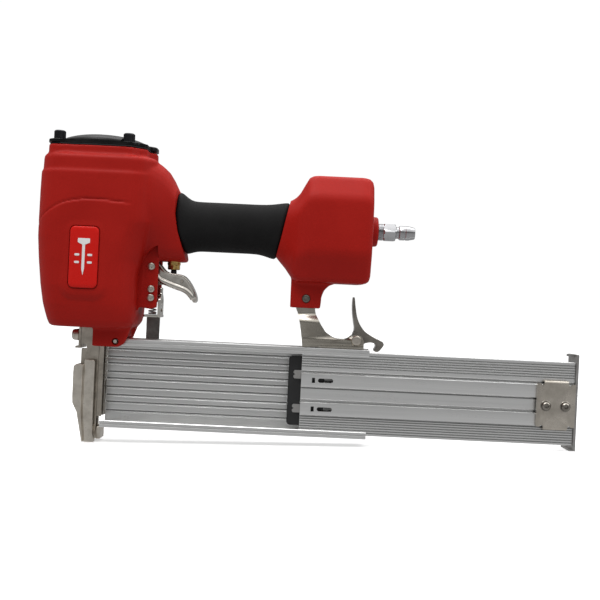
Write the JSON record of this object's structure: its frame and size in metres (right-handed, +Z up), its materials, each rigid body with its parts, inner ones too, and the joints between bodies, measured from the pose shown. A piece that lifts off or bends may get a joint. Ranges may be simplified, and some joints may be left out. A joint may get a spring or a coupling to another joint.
{
  "type": "pneumatic flooring nailer",
  "caption": "Pneumatic flooring nailer: red cast head, handle and rear chamber, trigger, safety foot, and a side-opening sliding aluminium magazine shown pulled out.",
  "frame": {"origin": "on the driver axis at the bottom face of the safety foot", "axes": "+Z up the driver axis, +X rearwards along the magazine, -Y the side the magazine opens to"},
  "size_m": [0.449, 0.0889, 0.2548],
  "materials": {
    "red_casting": "orange-red fine textured powder coat",
    "black_casting": "glossy black paint",
    "gasket_rubber": "matt",
    "liner_aluminium": "honed",
    "bumper_rubber": "matt",
    "piston_aluminium": "turned",
    "tool_steel": "ground",
    "black_plastic": "fine matt",
    "grip_rubber": "matt moulded rubber",
    "plug_chrome": "bright",
    "badge_red": "gloss",
    "valve_brass": "turned",
    "black_steel": "black oxide",
    "bolt_black": "black oxide",
    "trigger_chrome": "bright cast",
    "pin_steel": "zinc plated",
    "nickel_steel": "nickel plated sheet",
    "yoke_chrome": "plated sheet",
    "foot_steel": "nickel plated investment casting",
    "nose_steel": "nickel plated",
    "rail_aluminium": "anodised extrusion",
    "cover_aluminium": "anodised extrusion",
    "plate_steel": "zinc plated sheet",
    "spring_strip": "spring strip",
    "latch_nickel": "nickel plated casting"
  },
  "bodies": {
    "housing": {"body_casting": "red_casting", "cylinder_cap": "black_casting", "cap_gasket": "gasket_rubber", "cylinder_liner": "liner_aluminium", "piston_bumper": "bumper_rubber", "head_valve_spring": "tool_steel", "rubber_grip": "grip_rubber", "air_plug": "plug_chrome", "badge_plate": "badge_red", "trigger_valve": "valve_brass", "trigger_pin": "pin_steel", "guide_pin_1": "pin_steel", "guide_pin_2": "pin_steel", "safety_spring": "tool_steel", "nose_base": "nose_steel", "front_plate": "nose_steel", "nose_bolt_1": "pin_steel", "nose_bolt_2": "pin_steel", "nose_guide": "nose_steel", "feed_gate": "nose_steel", "neck_pin": "pin_steel", "neck_pin_near": "pin_steel", "magazine_rail": "rail_aluminium", "hanger_bracket": "nickel_steel", "hanger_bolt": "black_steel", "latch_pin": "pin_steel", "cap_bolt_1": "bolt_black", "cap_bolt_2": "bolt_black", "cap_bolt_3": "bolt_black", "cap_bolt_4": "bolt_black"},
    "piston": {"piston": "piston_aluminium", "piston_ring": "bumper_rubber", "driver_blade": "tool_steel"},
    "head_valve": {"head_valve": "black_plastic"},
    "trigger": {"trigger": "trigger_chrome", "trip_pin": "pin_steel"},
    "trip_lever": {"trip_lever": "nickel_steel"},
    "valve_stem": {"valve_stem": "black_steel"},
    "safety": {"safety_foot": "foot_steel", "safety_link": "black_steel", "safety_yoke": "yoke_chrome"},
    "cover": {"magazine_cover": "cover_aluminium", "end_plate": "plate_steel", "rear_bracket": "nickel_steel", "bracket_screw_1": "pin_steel", "bracket_screw_2": "pin_steel", "spring_clip_1": "spring_strip", "spring_clip_2": "spring_strip"},
    "follower": {"follower": "black_plastic", "feed_spring_1": "spring_strip", "feed_spring_2": "spring_strip"},
    "latch": {"latch_lever": "latch_nickel"}
  },
  "joints": [
    {"name": "piston_stroke", "type": "slide", "parent": "housing", "child": "piston", "axis": [0, 0, -1], "range_m": [0, 0.08], "stiffness_N_per_m": 60},
    {"name": "head_valve_lift", "type": "slide", "parent": "housing", "child": "head_valve", "axis": [0, 0, 1], "range_m": [0, 0.003], "stiffness_N_per_m": 1500, "deforming": ["head_valve_spring"]},
    {"name": "trigger_pull", "type": "hinge", "parent": "housing", "child": "trigger", "pos_m": [0.0452, 0, 0.1477], "axis": [0, -1, 0], "range_deg": [0, 7], "stiffness_Nm_per_rad": 1},
    {"name": "trip_lift", "type": "hinge", "parent": "trigger", "child": "trip_lever", "pos_m": [0.07, 0, 0.1365], "axis": [0, 1, 0], "range_deg": [0, 22]},
    {"name": "valve_push", "type": "slide", "parent": "housing", "child": "valve_stem", "axis": [0, 0, 1], "range_m": [0, 0.0022], "stiffness_N_per_m": 600, "springref_m": -0.001},
    {"name": "safety_press", "type": "slide", "parent": "housing", "child": "safety", "axis": [0, 0, 1], "range_m": [0, 0.008], "stiffness_N_per_m": 1500, "springref_m": -0.004, "deforming": ["safety_spring"]},
    {"name": "magazine_slide", "type": "slide", "parent": "housing", "child": "cover", "axis": [-1, 0, 0], "range_m": [0, 0.1706]},
    {"name": "follower_feed", "type": "slide", "parent": "cover", "child": "follower", "axis": [1, 0, 0], "range_m": [0, 0.165], "stiffness_N_per_m": 20, "springref_m": -0.3},
    {"name": "latch_release", "type": "hinge", "parent": "housing", "child": "latch", "pos_m": [0.2173, 0, 0.094], "axis": [0, -1, 0], "range_deg": [0, 22], "stiffness_Nm_per_rad": 0.6, "springref_deg": -5.73}
  ],
  "couplings": [
    {"joint": "trip_lift", "follows": "safety_press", "rad_per_m": 43.6}
  ]
}
